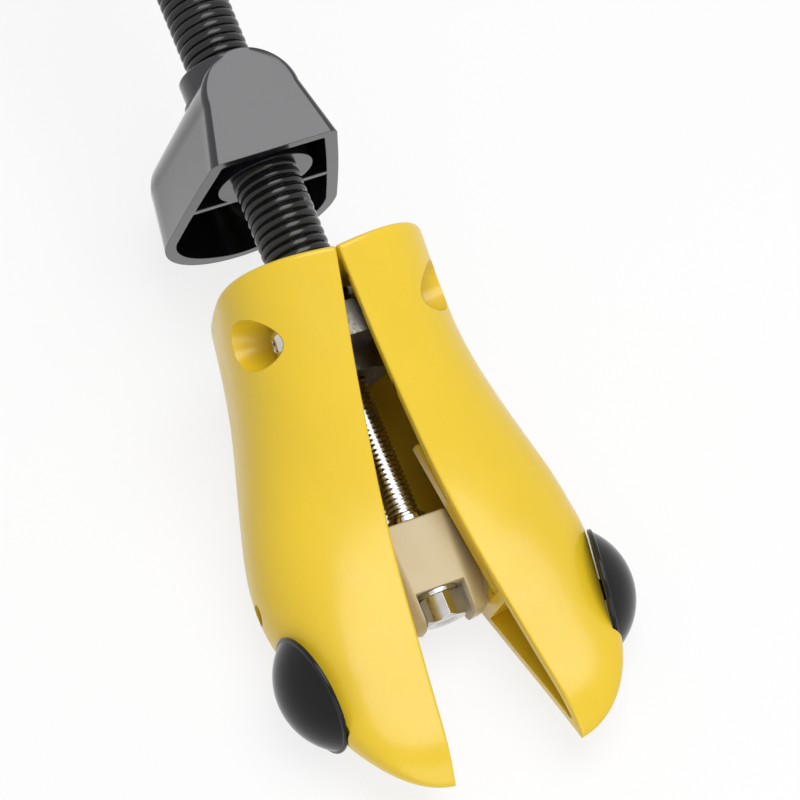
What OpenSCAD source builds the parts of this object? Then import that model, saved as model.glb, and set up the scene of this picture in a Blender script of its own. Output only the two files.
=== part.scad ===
/* [Stance] */
// Angle between the screw tube and the table that the stretcher stands on
tube_tilt = 18.4; // [17.4:0.2:19.4]
// Angle that each toe half stands open in the shown position
open_angle = 7.3; // [3:0.1:7.6]

/* [Screw tube] */
// Diameter over the crests of the tube's coarse thread
tube_d = 18; // [16:0.5:19]
// Bore of the tube
tube_bore_d = 10.5; // [9.6:0.1:12]
// Pitch of the coarse thread
tube_pitch = 2.5; // [2:0.1:4]
// Depth of the coarse thread
tube_thread_depth = 0.8; // [0.4:0.1:1.2]
// Length of tube behind the toe halves
tube_back = 196; // [150:1:230]
// Length of tube that reaches into the toe halves
tube_front = 18; // [16:0.5:20]

/* [Toe halves] */
// Length of a toe half from its neck to its tip
toe_length = 133.4; // [125:0.5:145]
// Half of the width across both closed halves at the ball
ball_half_width = 33.5; // [31:0.5:37]
// Height of the halves' top above the tube's centre line at the neck
neck_top = 38.3; // [36:0.1:42]
// Power of the top's rounding at the neck, where 2 is an oval
neck_power = 2.4; // [2:0.1:3]
// Power of the top's rounding at the ball
ball_power = 2.4; // [2:0.1:3]
// Power of the top's rounding at the tip
tip_power = 3.4; // [2.4:0.1:4]
// Power of the sole's rounding
sole_power = 2.6; // [2.2:0.1:3.2]
// Wall of the moulded shells
shell_wall = 2.8; // [2.2:0.1:3.4]
// Wall along the sole
sole_wall = 3.4; // [2.6:0.1:4]
// Wall at the neck end
neck_wall = 3; // [2:0.1:4]
// Gap between the two halves when they are closed
split_gap = 0.4; // [0.3:0.05:0.8]
// Distance from the neck to the cross wall behind the toe cavity
cross_wall_x = 91.5; // [91.4:0.1:93]
// Thickness of the cross wall
cross_wall = 3.2; // [2:0.1:4]
// Distance from the neck to the start of the lip beside the split
lip_x = 49; // [45:0.5:55]
// Height of the lip's lower edge above the tube's centre line
lip_z = 7.4; // [7.2:0.1:8]
// Height of the lip
lip_h = 3.6; // [2:0.1:4]
// Thickness of the lip
lip_t = 2.6; // [2:0.1:3]

/* [Tie screws] */
// Distance of the tie screws from the neck
tie_x = 15; // [14.4:0.1:16]
// Distance by which a recess lies further from the neck than its screw
recess_shift = 1; // [0.8:0.1:1.2]
// Height of the tie screws above the tube's centre line
tie_z = 20; // [18.5:0.1:21]
// Diameter of the round recess in a toe half
recess_d = 13.2; // [12.4:0.1:14]
// Wall of the tube moulded round the recess
recess_wall = 1.8; // [1.4:0.1:2.4]
// Distance from the middle plane to the recess floor
recess_floor_y = 9.4; // [9:0.1:10]
// Thickness of the recess floor
recess_floor = 2.4; // [2:0.1:2.6]
// Diameter of the screw shank
tie_shank_d = 4; // [3:0.1:4.2]
// Diameter of the screw head
tie_head_d = 9.2; // [8.6:0.1:9.6]
// Thickness of the screw head
tie_head_t = 2.8; // [2:0.1:3.4]
// Distance from the middle plane to the underside of the screw head
tie_head_y = 17; // [16.8:0.1:18]
// Wire of the closing spring
spring_wire = 0.9; // [0.7:0.05:1]
// Mean diameter of the closing spring
spring_d = 8; // [7.8:0.1:8.2]
// Curls of the closing spring
spring_curls = 2; // [2:1:2]

/* [Neck hub] */
// Diameter of the hub round the tube's end
hub_d = 21; // [20.6:0.1:22]
// Distance from the neck to the hub's back face
hub_back_x = 6; // [5:0.5:8]
// Distance from the neck to the hub's front face
hub_front_x = 25; // [24:0.1:25.6]
// Width of the lug that the tie screws go into
lug_w = 11; // [10:0.5:11.4]
// Length of the lug along the tube
lug_l = 9; // [8:0.5:10]
// Diameter of the spindle nut
nut_d = 14; // [12:0.5:15]
// Diameter of the set screw that holds the tube
set_screw_d = 4; // [3:0.5:5]

/* [Spindle] */
// Diameter over the crests of the spindle's thread
spindle_d = 8.6; // [8:0.1:9]
// Pitch of the spindle's thread
spindle_pitch = 1.37; // [1.2:0.01:1.6]
// Depth of the spindle's thread
spindle_thread_depth = 0.45; // [0.3:0.05:0.6]
// Diameter of the journal that turns in the wedge
journal_d = 7; // [6:0.1:7.2]
// Distance that the wedge travels back to close the halves
close_travel = 37; // [36:0.1:37.2]
// Distance that the wedge can travel on from the shown position
open_travel = 3; // [1:0.1:3.5]

/* [Wedge] */
// Distance from the neck to the wedge's back face
wedge_x = 65; // [64.8:0.1:66]
// Length of the wedge
wedge_l = 27.8; // [26:0.1:28.4]
// Half of the wedge's width at its back face
wedge_half_w = 14.5; // [13.8:0.1:14.8]
// Half of the wedge's width at the notch end
wedge_toe_half_w = 11.9; // [11.2:0.1:12.2]
// Height of the wedge
wedge_h = 13; // [11:0.5:14]
// Half of the width of the wedge's flat top at its back face
wedge_top_half_w = 8; // [7.6:0.1:9]
// Half of the width of the wedge's flat top at the notch end
wedge_top_toe_half_w = 6.9; // [6.8:0.1:7.4]
// Radius of the wedge's two corners at the notch end
wedge_corner_r = 4; // [2:0.5:4.5]
// Depth of the notch for the bolt head
notch_l = 9.2; // [8.8:0.1:10]
// Width of the notch
notch_w = 13.2; // [12.8:0.1:13.4]
// Width of the bolt's hex head across its flats
bolt_flats = 10.8; // [8:0.1:10.9]
// Height of the bolt's hex head
bolt_head_h = 6.6; // [4:0.1:7]
// Thickness of the washer under the bolt head
bolt_washer_t = 1.2; // [0.8:0.1:1.4]
// Diameter of the washer under the bolt head
bolt_washer_d = 12; // [11:0.5:12.4]
// Diameter of the collar behind the wedge
collar_d = 10.6; // [9.6:0.1:12]
// Thickness of the collar behind the wedge
collar_t = 1.8; // [1.2:0.1:2]

/* [Bunion plugs] */
// Diameter of a plug's dome
plug_d = 31.6; // [26:0.1:32]
// Height of a plug's dome
plug_h = 8.5; // [6:0.1:9]
// Distance of a plug from the toe's tip
plug_from_tip = 31; // [30:0.1:32]
// Height of a plug above the tube's centre line
plug_z = 4.1; // [3:0.1:6]
// Distance of a plug's flat back from the middle plane
plug_y = 26.9; // [26.4:0.1:27.6]
// Gap between a plug's flat back and its seat
seat_gap = 0.4; // [0.3:0.05:0.6]
// Angle by which a plug faces towards the toe
plug_yaw = 16; // [14:1:18]
// Angle by which the left plug leans up on its stem
plug_lean_left = 14; // [4:1:15]
// Angle by which the right plug leans up on its stem
plug_lean_right = 5; // [4:1:15]
// Diameter of a plug's stem
plug_stem_d = 5.6; // [5:0.1:6]
// Length of a plug's stem
plug_stem_l = 9; // [6:0.5:11]
// Distance of the spare plug hole from the toe's tip
spare_from_tip = 55.4; // [54:0.1:57]
// Height of the spare plug hole above the tube's centre line
spare_hole_z = -6; // [-10:0.5:-2]

/* [Heel block] */
// Distance from the neck back to the heel block's open face
heel_gap = 35.2; // [20:0.1:60]
// Length of the heel block along the tube
heel_l = 29.2; // [26:0.1:34]
// Half of the width of the flat top at the open face
heel_top_half_w = 17.6; // [16:0.1:20]
// Half of the greatest width at the open face
heel_half_w = 25.2; // [23:0.1:28]
// Height of the flat top above the tube's centre line
heel_top = 20; // [18.5:0.1:22]
// Depth of the open face's lowest point below the centre line
heel_drop = 56.2; // [54:0.1:58]
// Depth of the widest level below the centre line
heel_wide_drop = 30; // [26:0.5:34]
// Wall of the heel block
heel_wall = 3.2; // [2.4:0.1:4]
// Radius of the edges along the flat top
heel_edge_r = 2.4; // [1:0.1:3]
// Length over which the flat top's sides run straight
heel_straight = 16.6; // [14:0.1:17]
// Share of the width that is left at the end of the straight sides
heel_taper = 0.75; // [0.7:0.01:0.8]
// Share of the width that is left there at the widest level
heel_low_taper = 0.9; // [0.8:0.01:0.95]
// Share of the straight sides' width that is left at the very back
heel_end_share = 0.45; // [0.45:0.01:0.6]
// Distance by which the block's flanks bulge
heel_bulge = 0.4; // [0:0.1:2]
// Diameter of the boss round the tube
boss_d = 26.4; // [24:0.1:28]
// Diameter of the collar at the block's back
back_collar_d = 24.4; // [20.4:0.1:25]
// Length by which the collar stands out at the back
back_collar_l = 3.5; // [2:0.5:5]
// Depth of the two ribs below the centre line
rib_drop = 10.5; // [9:0.1:12]
// Height over which the block's back curves up from its lowest line
heel_foot_r = 9; // [4:0.5:14]
// Thickness of the ribs
rib_t = 2; // [1.4:0.1:3]

/* [Handle] */
// Space between the tube's cap and the handle's boss in the shown position
handle_gap = 4.4; // [4:0.1:8]
// Length of the tube's end cap
cap_l = 9; // [7:0.5:12]
// Diameter of the tube's end cap
cap_d = 22; // [20.6:0.1:26]
// Length of the handle's boss
handle_boss_l = 22; // [20:0.5:28]
// Diameter of the handle's boss
handle_boss_d = 18; // [16:0.5:22]
// Diameter of the cross bar
bar_d = 8; // [6:0.1:8.4]
// Length of the cross bar
bar_l = 96; // [70:1:120]
// Diameter of the grip caps on the cross bar
grip_d = 13; // [11:0.5:16]
// Length of the grip caps
grip_l = 26; // [16:1:30]
// Diameter of the pin through the handle's boss
pin_d = 3; // [2:0.1:3.4]

/* [Hidden] */
$fn = 64;
fit = 0.05;
part_gap = 0.3;
eps = 0.01;
yellow = [0.93, 0.74, 0.16];
black = [0.1, 0.1, 0.11];
cream = [0.84, 0.78, 0.62];
steel = [0.72, 0.73, 0.75];

// The frame of the whole part: the table is z = 0 and the origin is under the part's middle
stand_z = heel_drop * cos(tube_tilt) - heel_gap * sin(tube_tilt);
module stand() translate([stand_x, 0, stand_z]) rotate([0, tube_tilt, 0]) children();
module along_x(x) translate([x, 0, 0]) rotate([0, 90, 0]) children();
module along_y(x, y, z) translate([x, y, z]) rotate([-90, 0, 0]) children();
module swing(side) rotate([0, 0, side * open_angle]) children();
module side_of(side) if (side > 0) children(); else mirror([0, 1, 0]) children();

// Smooth reading of a table of rows: column c at the place x of column 0
function row_at(t, x, i = 0) = i + 2 >= len(t) || x < t[i + 1][0] ? i : row_at(t, x, i + 1);
function slope(t, i, c) = i <= 0 ? (t[1][c] - t[0][c]) / (t[1][0] - t[0][0])
    : i >= len(t) - 1 ? (t[i][c] - t[i - 1][c]) / (t[i][0] - t[i - 1][0])
    : (t[i + 1][c] - t[i - 1][c]) / (t[i + 1][0] - t[i - 1][0]);
function hermite(a, b, m, n, h, u) = a * (1 - 3 * u * u + 2 * u * u * u)
    + b * (3 * u * u - 2 * u * u * u) + h * m * (u - 2 * u * u + u * u * u)
    + h * n * (u * u * u - u * u);
function read(t, x, c) = let (i = row_at(t, x), h = t[i + 1][0] - t[i][0])
    hermite(t[i][c], t[i + 1][c], slope(t, i, c), slope(t, i + 1, c), h, (x - t[i][0]) / h);

// Solid between rings of equally many points
function ring_faces(n, m) = [for (i = [0 : n - 2], j = [0 : m - 1])
    let (a = i * m + j, b = i * m + (j + 1) % m, c = a + m, d = b + m) each [[a, d, b], [a, c, d]]];
module rings(r) {
    m = len(r[0]);
    n = len(r);
    polyhedron([for (ring = r) each ring], concat([[for (j = [0 : m - 1]) j]],
        ring_faces(n, m), [[for (j = [m - 1 : -1 : 0]) (n - 1) * m + j]]));
}

// Toe shape: distance from the neck, half width, top, bottom, widest level
toe_k = toe_length / 133.4;
wide_k = ball_half_width / 33.5;
high_k = neck_top / 38.3;
TOE = [for (r = [
    [0, 28, 38.3, -37, 12], [12, 27.7, 33, -35, 5], [26, 27.9, 26.8, -32, -3],
    [40, 29.5, 22, -29, -7.4], [55, 31.8, 17.6, -25.8, -8.4], [70, 33.5, 15.2, -20.9, -7.7],
    [85, 32.4, 14.9, -13.4, -4.9], [100, 27.9, 15.8, -5.4, 0], [112, 24.6, 16.7, 1.2, 5.3],
    [122, 19.1, 17.4, 6.5, 10.2], [130, 10.8, 15.8, 10.4, 12.9], [133.4, 2.6, 13.6, 12.4, 13]])
    [r[0] * toe_k, r[1] * wide_k, r[2] * high_k, r[3] * high_k, r[4] * high_k]];
square_l = 45 * toe_k;
tip_square_x = 78 * toe_k;
function ramp(u) = min(max(u, 0), 1);
function top_power(x) = ball_power + (neck_power - ball_power) * ramp(1 - x / square_l)
    + (tip_power - ball_power) * ramp((x - tip_square_x) / 20);
toe_points = 22;
toe_rings = 30;
function power(v, p) = pow(max(v, 0), 2 / p);
function toe_outline(x, in) = let (w = read(TOE, x, 1) - in, c = read(TOE, x, 4),
    up = read(TOE, x, 2) - in - c, down = c - read(TOE, x, 3) - in * sole_wall / shell_wall)
    [for (k = [0 : toe_points]) let (a = 180 * k / toe_points - 90, s = sin(a), t = top_power(x))
    [x, max(w, 1) * power(cos(a), s > 0 ? t : sole_power),
    c + (s > 0 ? max(up, 0.4) * power(s, t) : -max(down, 0.4) * power(-s, sole_power))]];
function toe_stops(a, b, n) = [for (i = [0 : n - 1]) a + (b - a) * sin(90 * i / (n - 1))];
function past_split(ring, y) = concat([[ring[0][0], y, ring[0][2]]],
    [for (p = ring) [p[0], p[1] + split_gap / 2, p[2]]],
    [[ring[0][0], y, ring[len(ring) - 1][2]]]);
module toe_solid() rings([for (x = toe_stops(0, toe_length, toe_rings))
    [for (p = toe_outline(x, 0)) [p[0], p[1] + split_gap / 2, p[2]]]]);
module toe_hollow(a, b, n) rings([for (x = toe_stops(a, b, n))
    past_split(toe_outline(x, shell_wall), -2)]);

// Rail that the wedge bears on, from the closed to the open position
shoulder_x = wedge_x + wedge_l - wedge_corner_r;
shoulder_y = wedge_toe_half_w;
travel_angle = open_angle / close_travel;
function shoulder(s) = let (a = open_angle + s * travel_angle)
    [(shoulder_x + s) * cos(a) + shoulder_y * sin(a),
    part_gap + shoulder_y * cos(a) - (shoulder_x + s) * sin(a)];
rail_steps = 4;
rail_t = 2.6;
rail_h = 11;
web_t = 2.4;
rail_path = [for (i = [0 : rail_steps])
    shoulder(-close_travel + (close_travel + open_travel) * i / rail_steps)];
module rail() {
    back = [for (p = rail_path) [p[0], max(p[1], split_gap) + rail_t]];
    front = [for (p = rail_path) [p[0], max(p[1], split_gap)]];
    translate([0, 0, -rail_h / 2]) linear_extrude(rail_h)
        polygon(concat(front, [for (i = [rail_steps : -1 : 0]) back[i]]));
    translate([0, 0, -web_t / 2]) linear_extrude(web_t)
        polygon(concat([for (p = back) [p[0], p[1] - rail_t / 2]],
            [[cross_wall_x + 1, ball_half_width + 2], [rail_path[0][0], ball_half_width + 2]]));
}

// Lip beside the split: a bar over the wedge, hung on a web that leaves a groove under the rim
lip_y = 0.5;
lip_web_t = 2;
module lip() {
    l = cross_wall_x + 1 - lip_x;
    translate([lip_x, lip_y, lip_z]) cube([l, lip_t, lip_h]);
    translate([lip_x, lip_y + lip_t - 0.4, lip_z]) cube([l, lip_web_t, neck_top]);
}

// Room that the swinging halves need round the tube and the tie screws
tube_r = tube_d / 2;
neck_hole_r = tube_r + 1.3;
tie_hole_d = tie_shank_d + 2.6;
recess_x = tie_x + recess_shift;
module toe_half(side) color(yellow) stand() swing(side) side_of(side) difference() {
    toe_solid();
    difference() {
        toe_hollow(neck_wall, cross_wall_x, 20);
        rail();
        lip();
        along_y(recess_x, recess_floor_y - recess_floor, tie_z)
            cylinder(d = recess_d + 2 * recess_wall, h = ball_half_width);
    }
    toe_hollow(cross_wall_x + cross_wall, toe_length - 2 * shell_wall, 9);
    along_x(-1) cylinder(r = neck_hole_r, h = neck_wall + 2);
    along_y(recess_x, recess_floor_y, tie_z) cylinder(d = recess_d, h = ball_half_width);
    along_y(recess_x, 0, tie_z) cylinder(d = tie_hole_d, h = ball_half_width);
    plug_place(side) {
        translate([0, 0, -plug_stem_l - 1]) cylinder(d = plug_stem_d + 2 * fit, h = plug_stem_l + 2);
        translate([0, 0, -seat_gap]) cylinder(d = plug_d + 2 * part_gap, h = plug_h);
    }
    along_y(toe_length - spare_from_tip, ball_half_width - 8, spare_hole_z)
        cylinder(d = plug_stem_d + 2 * fit, h = ball_half_width);
}

// A plug's dome sits on its flat back, with the stem in the shell's hole
module plug_place(side) translate([toe_length - plug_from_tip, plug_y, plug_z])
    rotate([0, 0, -plug_yaw]) rotate([(side > 0 ? plug_lean_left : plug_lean_right) - 90, 0, 0])
    children();
dome_r = (plug_d * plug_d / 4 + plug_h * plug_h) / (2 * plug_h);
plug_rim = 1;
module bunion_plug(side) color(black) stand() swing(side) side_of(side) plug_place(side) {
    rotate_extrude($fn = 96) polygon(concat(
        [[0, 0], [plug_d / 2 - plug_rim / 2, 0], [plug_d / 2, plug_rim / 2]],
        [for (i = [0 : 12]) let (a = acos((dome_r - plug_h) / dome_r) * (12 - i) / 12)
        [min(dome_r * sin(a), plug_d / 2), max(dome_r * cos(a) - dome_r + plug_h, plug_rim)]]));
    translate([0, 0, -plug_stem_l]) cylinder(d = plug_stem_d, h = plug_stem_l + eps);
}

// Tie screw: a pan head with a cross recess, threaded into the hub's lug
screw_end_y = lug_w / 2 - 4.2;
cross_w = 1.2;
cross_l = 4.6;
cross_depth = 1.6;
module tie_screw(side) color(steel) stand() side_of(side) translate([tie_x, 0, tie_z])
    rotate([-90, 0, 0]) difference() {
        union() {
            translate([0, 0, screw_end_y]) cylinder(d = tie_shank_d, h = tie_head_y - screw_end_y + eps);
            translate([0, 0, tie_head_y]) rotate_extrude() polygon([[0, 0], [tie_head_d / 2, 0],
                [tie_head_d / 2, tie_head_t * 0.4], [tie_head_d * 0.42, tie_head_t * 0.75],
                [tie_head_d * 0.3, tie_head_t], [0, tie_head_t]]);
        }
        for (a = [0, 90]) translate([0, 0, tie_head_y + tie_head_t]) rotate([0, 0, a + 20])
            cube([cross_l, cross_w, 2 * cross_depth], center = true);
    }

// Closing spring between the recess floor and the screw head
spring_tilt = (spring_d + spring_wire) / 2 * sin(open_angle + open_travel * travel_angle);
spring_l = tie_head_y - recess_floor_y * cos(open_angle) - recess_x * sin(open_angle)
    - spring_tilt - 2 * part_gap;
spring_y = tie_head_y - part_gap - spring_l;
curl_rings = 8;
wire_sides = 6;
spring_rise = (spring_l - spring_wire) / spring_curls;
function spring_point(i) = let (a = 360 * i / curl_rings) [spring_d / 2 * cos(a),
    spring_d / 2 * sin(a), spring_wire / 2 + spring_rise * i / curl_rings];
function spring_ring(i) = let (a = 360 * i / curl_rings, p = spring_point(i),
    out = [cos(a), sin(a), 0], up = [0, 0, 1])
    [for (j = [0 : wire_sides - 1]) let (b = -360 * j / wire_sides)
    p + spring_wire / 2 * (cos(b) * out + sin(b) * up)];
spring_gap = spring_rise - spring_wire;
echo(spring_gap_to_itself = spring_gap);
module tie_spring(side) color(steel) stand() side_of(side)
    along_y(tie_x, spring_y, tie_z)
        rings([for (i = [0 : curl_rings * spring_curls]) spring_ring(i)]);

// Hub that clamps the tube's end, with a lug for the tie screws and a nut for the spindle
lug_top = tie_z + 4.6;
module neck_hub() color(steel) stand() difference() {
    union() {
        along_x(hub_back_x) cylinder(d = hub_d, h = hub_front_x - hub_back_x);
        translate([tie_x - lug_l / 2, -lug_w / 2, 0]) cube([lug_l, lug_w, lug_top]);
    }
    along_x(hub_back_x - 1) cylinder(d = tube_d + 2 * fit, h = tube_front + fit - hub_back_x + 1);
    along_x(hub_back_x) cylinder(d = nut_d + 2 * fit, h = hub_front_x);
    along_y(tie_x, -lug_w, tie_z) cylinder(d = tie_shank_d + 2 * fit, h = 2 * lug_w);
    translate([set_screw_x, 0, -hub_d]) cylinder(d = set_screw_d + 2 * fit, h = hub_d);
}
set_screw_x = tie_x - 4;
set_screw_tip = 6.9;
set_screw_sink = 0.4;
module hub_set_screw() color(steel) stand()
    translate([set_screw_x, 0, set_screw_sink - hub_d / 2]) difference() {
    cylinder(d = set_screw_d, h = hub_d / 2 - set_screw_sink - set_screw_tip);
    translate([0, 0, -eps]) cylinder(d = set_screw_d / 2, h = 1.5, $fn = 6);
}
module spindle_nut() color(steel) stand() along_x(tube_front + 2 * fit) difference() {
    cylinder(d = nut_d, h = hub_front_x - tube_front - 4 * fit);
    translate([0, 0, -1]) cylinder(d = spindle_d + 2 * fit, h = hub_front_x);
}

// Outline of a thread drawn as rings: n crests from x on, pitch p, crest radius r
function crests(x, n, p, r, d) = [for (i = [0 : n - 1]) each [
    [r - d, x + p * (i + 0.08)], [r - 0.25 * d, x + p * (i + 0.24)], [r, x + p * (i + 0.42)],
    [r, x + p * (i + 0.58)], [r - 0.25 * d, x + p * (i + 0.76)], [r - d, x + p * (i + 0.92)]]];
thread_end_x = hub_back_x - 2;
tube_crests = floor((tube_back + thread_end_x - cap_l) / tube_pitch);
module screw_tube() color(black) stand() difference() {
    along_x(0) rotate_extrude() polygon(concat(
        [[tube_bore_d / 2, -tube_back], [tube_r - tube_thread_depth, -tube_back]],
        crests(thread_end_x - tube_crests * tube_pitch, tube_crests, tube_pitch, tube_r, tube_thread_depth),
        [[tube_r, thread_end_x + 0.6], [tube_r, tube_front], [tube_bore_d / 2, tube_front]]));
    translate([set_screw_x, 0, -tube_r - 1])
        cylinder(d = set_screw_d + 2 * fit, h = tube_r + 1 - set_screw_tip + fit);
}

// Cap on the tube's back end, which guides the spindle
cap_lid = 3;
module tube_end_cap() color(black) stand() along_x(-tube_back - cap_lid) difference() {
    union() {
        cylinder(d = cap_d, h = cap_l);
        translate([0, 0, -1.2]) cylinder(d = cap_d - 6, h = 2);
    }
    translate([0, 0, cap_lid - fit]) cylinder(r = tube_r - tube_thread_depth + fit, h = cap_l);
    translate([0, 0, -2]) cylinder(d = spindle_d + 2 * fit, h = cap_l);
}

// Heel block: tapering tombstone sections, open towards the toe
heel_back_x = -heel_gap - heel_l;
round_l = heel_l - heel_straight;
function heel_turn(u) = let (v = max(u - heel_straight, 0) / round_l)
    max(sqrt(max(1 - v * v, 0)), heel_end_share);
function heel_level(z) = ramp((heel_top - z) / (heel_top + heel_wide_drop));
function heel_share(u, z) = let (t = heel_taper + (heel_low_taper - heel_taper) * heel_level(z))
    u < heel_straight ? 1 - (1 - t) * u / heel_straight : t * heel_turn(u);
heel_crown = 0.5;
heel_arc = 9;
function heel_half(u, in) = let (r = heel_edge_r, top = heel_top - in,
    low = heel_drop + u * tan(tube_tilt) - heel_foot_r * (1 - heel_turn(u)))
    concat([[0, top + heel_crown], [heel_top_half_w - 1.2 * r, top + 0.3 * heel_crown],
        [heel_top_half_w - 0.4 * r, top - 0.25 * r], [heel_top_half_w, top - r],
        [(heel_top_half_w + heel_half_w) / 2 + heel_bulge, (top - r - heel_wide_drop) / 2]],
        [for (k = [0 : heel_arc]) let (a = 90 * k / heel_arc)
        [heel_half_w * cos(a), -heel_wide_drop - (low - in - heel_wide_drop) * sin(a)]]);
function inset(y, in) = y - min(in, 0.3 * y);
function heel_ring(u, in) = let (h = heel_half(u, in), n = len(h),
    y = [for (p = h) inset(p[0] * heel_share(u, p[1]), in)])
    concat([for (i = [0 : n - 1]) [-heel_gap - u, y[i], h[i][1]]],
        [for (i = [n - 2 : -1 : 1]) [-heel_gap - u, -y[i], h[i][1]]]);
heel_stops = concat([0, heel_straight / 2], [for (i = [0 : 5]) heel_straight + round_l * sin(90 * i / 5)]);
module heel_outer() rings([for (u = heel_stops) heel_ring(u, 0)]);
module heel_hollow() rings([for (u = heel_stops) let (v = u == 0 ? -1 : u * (1 - heel_wall / heel_l))
    heel_ring(v, heel_wall)]);
module heel_block() color(black) stand() difference() {
    union() {
        difference() {
            heel_outer();
            difference() {
                heel_hollow();
                translate([heel_back_x, -heel_half_w, -rib_drop - rib_t / 2])
                    cube([heel_l + 2, 2 * heel_half_w, rib_t]);
                along_x(heel_back_x) cylinder(d = boss_d, h = heel_l + 2);
            }
        }
        along_x(heel_back_x - back_collar_l) cylinder(d = back_collar_d, h = back_collar_l + 5);
    }
    translate([heel_back_x - 1, -heel_half_w, heel_top]) cube([heel_l + 2, 2 * heel_half_w, heel_edge_r]);
    along_x(heel_back_x - back_collar_l - 1) cylinder(r = tube_r + fit, h = heel_l + back_collar_l + 2);
}

// Spindle: thread in front, plain rod through the tube, journal in the wedge
spindle_r = spindle_d / 2;
collar_x = wedge_x - fit - collar_t;
thread_x = hub_front_x - 14;
spindle_crests = floor((collar_x - thread_x - 1) / spindle_pitch);
handle_front_x = -tube_back - cap_lid - 1.2 - handle_gap;
bar_x = handle_front_x - handle_boss_l + bar_d;
spindle_back_x = bar_x + bar_d / 2 + 1;
pin_x = handle_front_x - 4;
notch_x = wedge_x + wedge_l - notch_l;
journal_end_x = notch_x + fit;
module spindle_rod() color(steel) stand() difference() {
    along_x(0) rotate_extrude() polygon(concat(
        [[0, spindle_back_x], [spindle_r - 0.4, spindle_back_x], [spindle_r, spindle_back_x + 0.4]],
        [[spindle_r, thread_x - 0.6]],
        crests(thread_x, spindle_crests, spindle_pitch, spindle_r, spindle_thread_depth),
        [[spindle_r - 0.2, collar_x - fit], [journal_d / 2, collar_x - fit],
        [journal_d / 2, journal_end_x], [0, journal_end_x]]));
    translate([pin_x, 0, -spindle_d]) cylinder(d = pin_d + 2 * fit, h = 2 * spindle_d);
}
module spindle_collar() color(steel) stand() along_x(collar_x) difference() {
    rotate_extrude() polygon([[0, 0], [collar_d / 2 - 0.5, 0], [collar_d / 2, 0.5],
        [collar_d / 2, collar_t], [0, collar_t]]);
    translate([0, 0, -1]) cylinder(d = journal_d + 2 * fit, h = collar_t + 2);
}

// Wedge: a tapering block with sloped sides, round corners and a notch
module wedge_half_outline(back, toe) polygon(concat([[0, 0], [0, back]],
    [for (i = [0 : 6]) let (a = 90 - 15 * i, r = wedge_corner_r)
    [wedge_l - r + r * cos(a), toe - r + r * sin(a)]], [[wedge_l, 0]]));
module wedge_outline(back, toe) union() {
    wedge_half_outline(back, toe);
    mirror([0, 1]) wedge_half_outline(back, toe);
}
wedge_land = 1.5;
wedge_skin = 0.1;
module wedge_block() color(cream) stand() translate([wedge_x, 0, 0]) difference() {
    for (s = [-1, 1]) hull() {
        translate([0, 0, s * wedge_land / 2 - wedge_land / 2])
            linear_extrude(wedge_land) wedge_outline(wedge_half_w, wedge_toe_half_w);
        translate([0, 0, s * (wedge_h / 2 - wedge_skin / 2) - wedge_skin / 2])
            linear_extrude(wedge_skin) wedge_outline(wedge_top_half_w, wedge_top_toe_half_w);
    }
    along_x(-1) cylinder(d = journal_d + 2 * fit, h = wedge_l);
    translate([wedge_l - notch_l, -notch_w / 2, -wedge_h]) cube([notch_l + 1, notch_w, 2 * wedge_h]);
}
bolt_x = journal_end_x + fit + bolt_washer_t + fit;
module bolt_washer() color(steel) stand() along_x(journal_end_x + fit) difference() {
    cylinder(d = bolt_washer_d, h = bolt_washer_t);
    translate([0, 0, -1]) cylinder(d = journal_d - 1 + 2 * fit, h = bolt_washer_t + 2);
}
module wedge_bolt() color(steel) stand() union() {
    along_x(bolt_x) intersection() {
        cylinder(r = bolt_flats / 2 / cos(30), h = bolt_head_h, $fn = 6);
        rotate_extrude() polygon([[0, 0], [bolt_flats / 2 + 0.2, 0], [bolt_flats / 2 + 0.8, 0.6],
            [bolt_flats / 2 + 0.8, bolt_head_h - 0.6], [bolt_flats / 2 - 0.2, bolt_head_h],
            [0, bolt_head_h]]);
    }
    along_x(journal_end_x) cylinder(d = journal_d - 1, h = bolt_x - journal_end_x + eps);
}

// Handle: a boss pinned on the spindle, a cross bar through it and two grip caps
handle_chamfer = 2;
module handle_boss() color(black) stand() difference() {
    along_x(handle_front_x - handle_boss_l) rotate_extrude() polygon([[0, 0],
        [handle_boss_d / 2 - handle_chamfer, 0], [handle_boss_d / 2, handle_chamfer],
        [handle_boss_d / 2, handle_boss_l - 1], [handle_boss_d / 2 - 1, handle_boss_l],
        [0, handle_boss_l]]);
    along_x(spindle_back_x - fit) cylinder(d = spindle_d + 2 * fit, h = handle_boss_l);
    along_y(bar_x, -handle_boss_d, 0) cylinder(d = bar_d + 2 * fit, h = 2 * handle_boss_d);
    translate([pin_x, 0, -handle_boss_d]) cylinder(d = pin_d + 2 * fit, h = 2 * handle_boss_d);
}
module handle_pin() color(steel) stand() translate([pin_x, 0, -handle_boss_d / 2 + 0.5])
    cylinder(d = pin_d, h = handle_boss_d - 1);
module handle_bar() color(steel) stand() along_y(bar_x, -bar_l / 2, 0) cylinder(d = bar_d, h = bar_l);
grip_end = 3;
module handle_cap(side) color(black) stand() side_of(side)
    along_y(bar_x, bar_l / 2 + grip_end - grip_l, 0) difference() {
        rotate_extrude() polygon([[0, 0], [grip_d / 2 - 1, 0], [grip_d / 2, 1],
            [grip_d / 2, grip_l - 3], [grip_d / 2 - 1, grip_l - 1], [grip_d / 2 - 3, grip_l], [0, grip_l]]);
        translate([0, 0, -1]) cylinder(d = bar_d + 2 * fit, h = grip_l - grip_end + 1 + fit);
    }

// The origin lies under the middle between the toe's tip and the handle's back
front_x = toe_length * cos(open_angle) * cos(tube_tilt) + TOE[len(TOE) - 1][2] * sin(tube_tilt);
back_x = (handle_front_x - handle_boss_l) * cos(tube_tilt)
    - (handle_boss_d / 2 - handle_chamfer) * sin(tube_tilt);
stand_x = -(front_x + back_x) / 2;
echo(stand_x = stand_x, stand_z = stand_z);

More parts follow.
